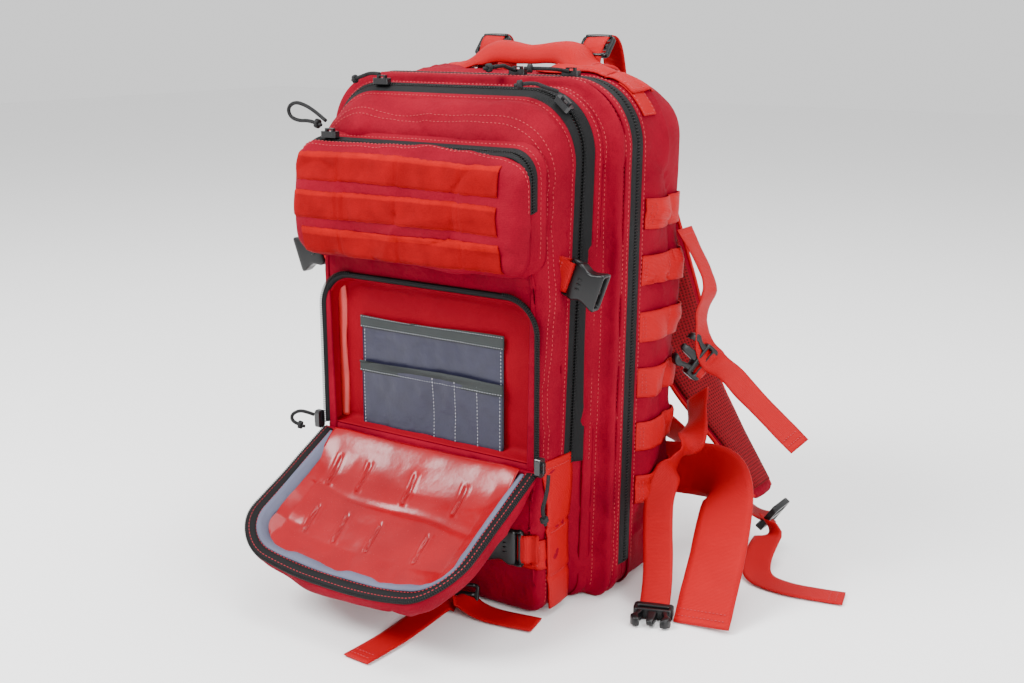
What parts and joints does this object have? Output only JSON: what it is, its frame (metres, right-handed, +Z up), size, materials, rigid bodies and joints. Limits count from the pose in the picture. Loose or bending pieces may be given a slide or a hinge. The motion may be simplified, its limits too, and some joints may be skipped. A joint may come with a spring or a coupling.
{
  "type": "trauma backpack",
  "caption": "Upright medical backpack with two clamshell compartments, a loop-faced upper pocket, a fold-down lower pocket lid, side webbing rows, buckled straps and padded shoulder straps.",
  "frame": {"origin": "centre of the bag's base on the surface it stands on, in line with the middle of its depth", "axes": "+X to the right of someone facing the front, +Y from the front towards the wearer's back, +Z up"},
  "size_m": [0.531, 0.4555, 0.4625],
  "materials": {
    "fabric_red": "matte woven polyester",
    "webbing_red": "ribbed webbing, slight sheen",
    "zip_tape_black": "woven tape with nylon coil",
    "buckle_black": "satin moulded acetal",
    "slider_black": "gloss black lacquer on zinc",
    "cord_black": "braided cord",
    "loop_red": "hook and loop pile",
    "vinyl_red": "glossy coated vinyl",
    "binding_grey": "grosgrain binding",
    "organizer_blue": "shiny coated nylon",
    "band_grey": "elastic webbing",
    "mesh_red": "open air mesh over foam",
    "sheet_black": "HDPE sheet"
  },
  "bodies": {
    "root": {"rear_shell": "fabric_red", "main_zip_rear": "zip_tape_black", "frame_sheet": "sheet_black", "hydration_sleeve": "fabric_red", "back_pads": "mesh_red", "side_webbing": "webbing_red", "top_patch": "webbing_red", "handle_anchors": "webbing_red", "shoulder_pads": "mesh_red", "load_lifters": "webbing_red", "strap_adjusters": "buckle_black", "side_straps": "webbing_red", "male_buckles": "buckle_black", "shoulder_webbing": "webbing_red", "shoulder_tail": "webbing_red", "waist_belts": "webbing_red", "waist_strap": "webbing_red", "waist_female_buckle": "buckle_black"},
    "middle": {"middle_shell": "fabric_red", "main_zip_front": "zip_tape_black", "second_zip_rear": "zip_tape_black", "edge_piping": "fabric_red", "mesh_pocket": "mesh_red", "side_strips": "webbing_red", "lower_webs": "webbing_red", "lower_buckles": "buckle_black", "bottom_straps": "webbing_red"},
    "front_panel": {"front_shell": "fabric_red", "second_zip_front": "zip_tape_black", "lower_zip_frame": "zip_tape_black", "organizer_panel": "organizer_blue", "organizer_bands": "band_grey", "pocket_facings": "vinyl_red", "upper_pocket_base": "fabric_red", "upper_zip_base": "zip_tape_black", "upper_webs": "webbing_red"},
    "upper_cover": {"upper_cover": "fabric_red", "upper_zip_cover": "zip_tape_black", "loop_bands": "loop_red"},
    "lid": {"lid_shell": "fabric_red", "lid_liner": "vinyl_red", "lid_zip": "zip_tape_black", "lid_binding": "binding_grey"},
    "main_slider_left": {"main_slider_left": "slider_black", "main_left_cord": "cord_black"},
    "main_slider_right": {"main_slider_right": "slider_black", "main_right_cord": "cord_black"},
    "second_slider_left": {"second_slider_left": "slider_black", "second_left_cord": "cord_black"},
    "second_slider_right": {"second_slider_right": "slider_black", "second_right_cord": "cord_black"},
    "upper_slider": {"upper_slider": "slider_black", "upper_cord": "cord_black"},
    "lower_slider_right": {"lower_slider_right": "slider_black", "lower_right_cord": "cord_black"},
    "lower_slider_left": {"lower_slider_left": "slider_black", "lower_left_cord": "cord_black"},
    "upper_buckle_right": {"upper_buckle_right": "buckle_black"},
    "upper_buckle_left": {"upper_buckle_left": "buckle_black"},
    "grab_handle": {"grab_handle": "webbing_red"}
  },
  "joints": [
    {"name": "main_opening", "type": "hinge", "parent": "root", "child": "middle", "pos_m": [0, 0.01, 0], "axis": [1, 0, 0], "range_deg": [0, 30]},
    {"name": "front_opening", "type": "hinge", "parent": "middle", "child": "front_panel", "pos_m": [0, -0.036, 0.118], "axis": [1, 0, 0], "range_deg": [0, 14]},
    {"name": "lid_fold", "type": "hinge", "parent": "front_panel", "child": "lid", "pos_m": [0, -0.0782, 0.127], "axis": [-1, 0, 0], "range_deg": [0, 118]},
    {"name": "upper_cover_opening", "type": "hinge", "parent": "front_panel", "child": "upper_cover", "pos_m": [0, -0.109, 0.2895], "axis": [1, 0, 0], "range_deg": [0, 45]},
    {"name": "main_zip_left", "type": "slide", "parent": "root", "child": "main_slider_left", "axis": [-1, 0, 0], "range_m": [0, 0.11]},
    {"name": "main_zip_right", "type": "slide", "parent": "root", "child": "main_slider_right", "axis": [1, 0, 0], "range_m": [-0.02, 0.008]},
    {"name": "second_zip_left", "type": "slide", "parent": "front_panel", "child": "second_slider_left", "axis": [1, 0, 0], "range_m": [-0.005, 0.12]},
    {"name": "second_zip_right", "type": "hinge", "parent": "front_panel", "child": "second_slider_right", "pos_m": [0.07616, -0.04, 0.378], "axis": [0, 1, 0], "range_deg": [-30, 35]},
    {"name": "upper_zip", "type": "slide", "parent": "front_panel", "child": "upper_slider", "axis": [1, 0, 0], "range_m": [0, 0.15]},
    {"name": "lower_zip_right", "type": "slide", "parent": "front_panel", "child": "lower_slider_right", "axis": [0, 0, 1], "range_m": [0, 0.11]},
    {"name": "lower_zip_left", "type": "slide", "parent": "front_panel", "child": "lower_slider_left", "axis": [0, 0, 1], "range_m": [0, 0.11]},
    {"name": "upper_buckle_swing_right", "type": "hinge", "parent": "front_panel", "child": "upper_buckle_right", "pos_m": [0.12674, -0.056, 0.286], "axis": [0.342, 0, 0.9397], "range_deg": [-40, 40]},
    {"name": "upper_buckle_swing_left", "type": "hinge", "parent": "front_panel", "child": "upper_buckle_left", "pos_m": [-0.12674, -0.056, 0.286], "axis": [-0.342, 0, 0.9397], "range_deg": [-40, 40]},
    {"name": "grab_handle_swing", "type": "hinge", "parent": "root", "child": "grab_handle", "pos_m": [0.003, 0.076, 0.443], "axis": [1, 0, 0], "range_deg": [-50, 50]}
  ],
  "couplings": [
    {"joint": "lower_zip_right", "follows": "lid_fold", "m_per_rad": 0.053358},
    {"joint": "lower_zip_left", "follows": "lid_fold", "m_per_rad": 0.053358}
  ]
}
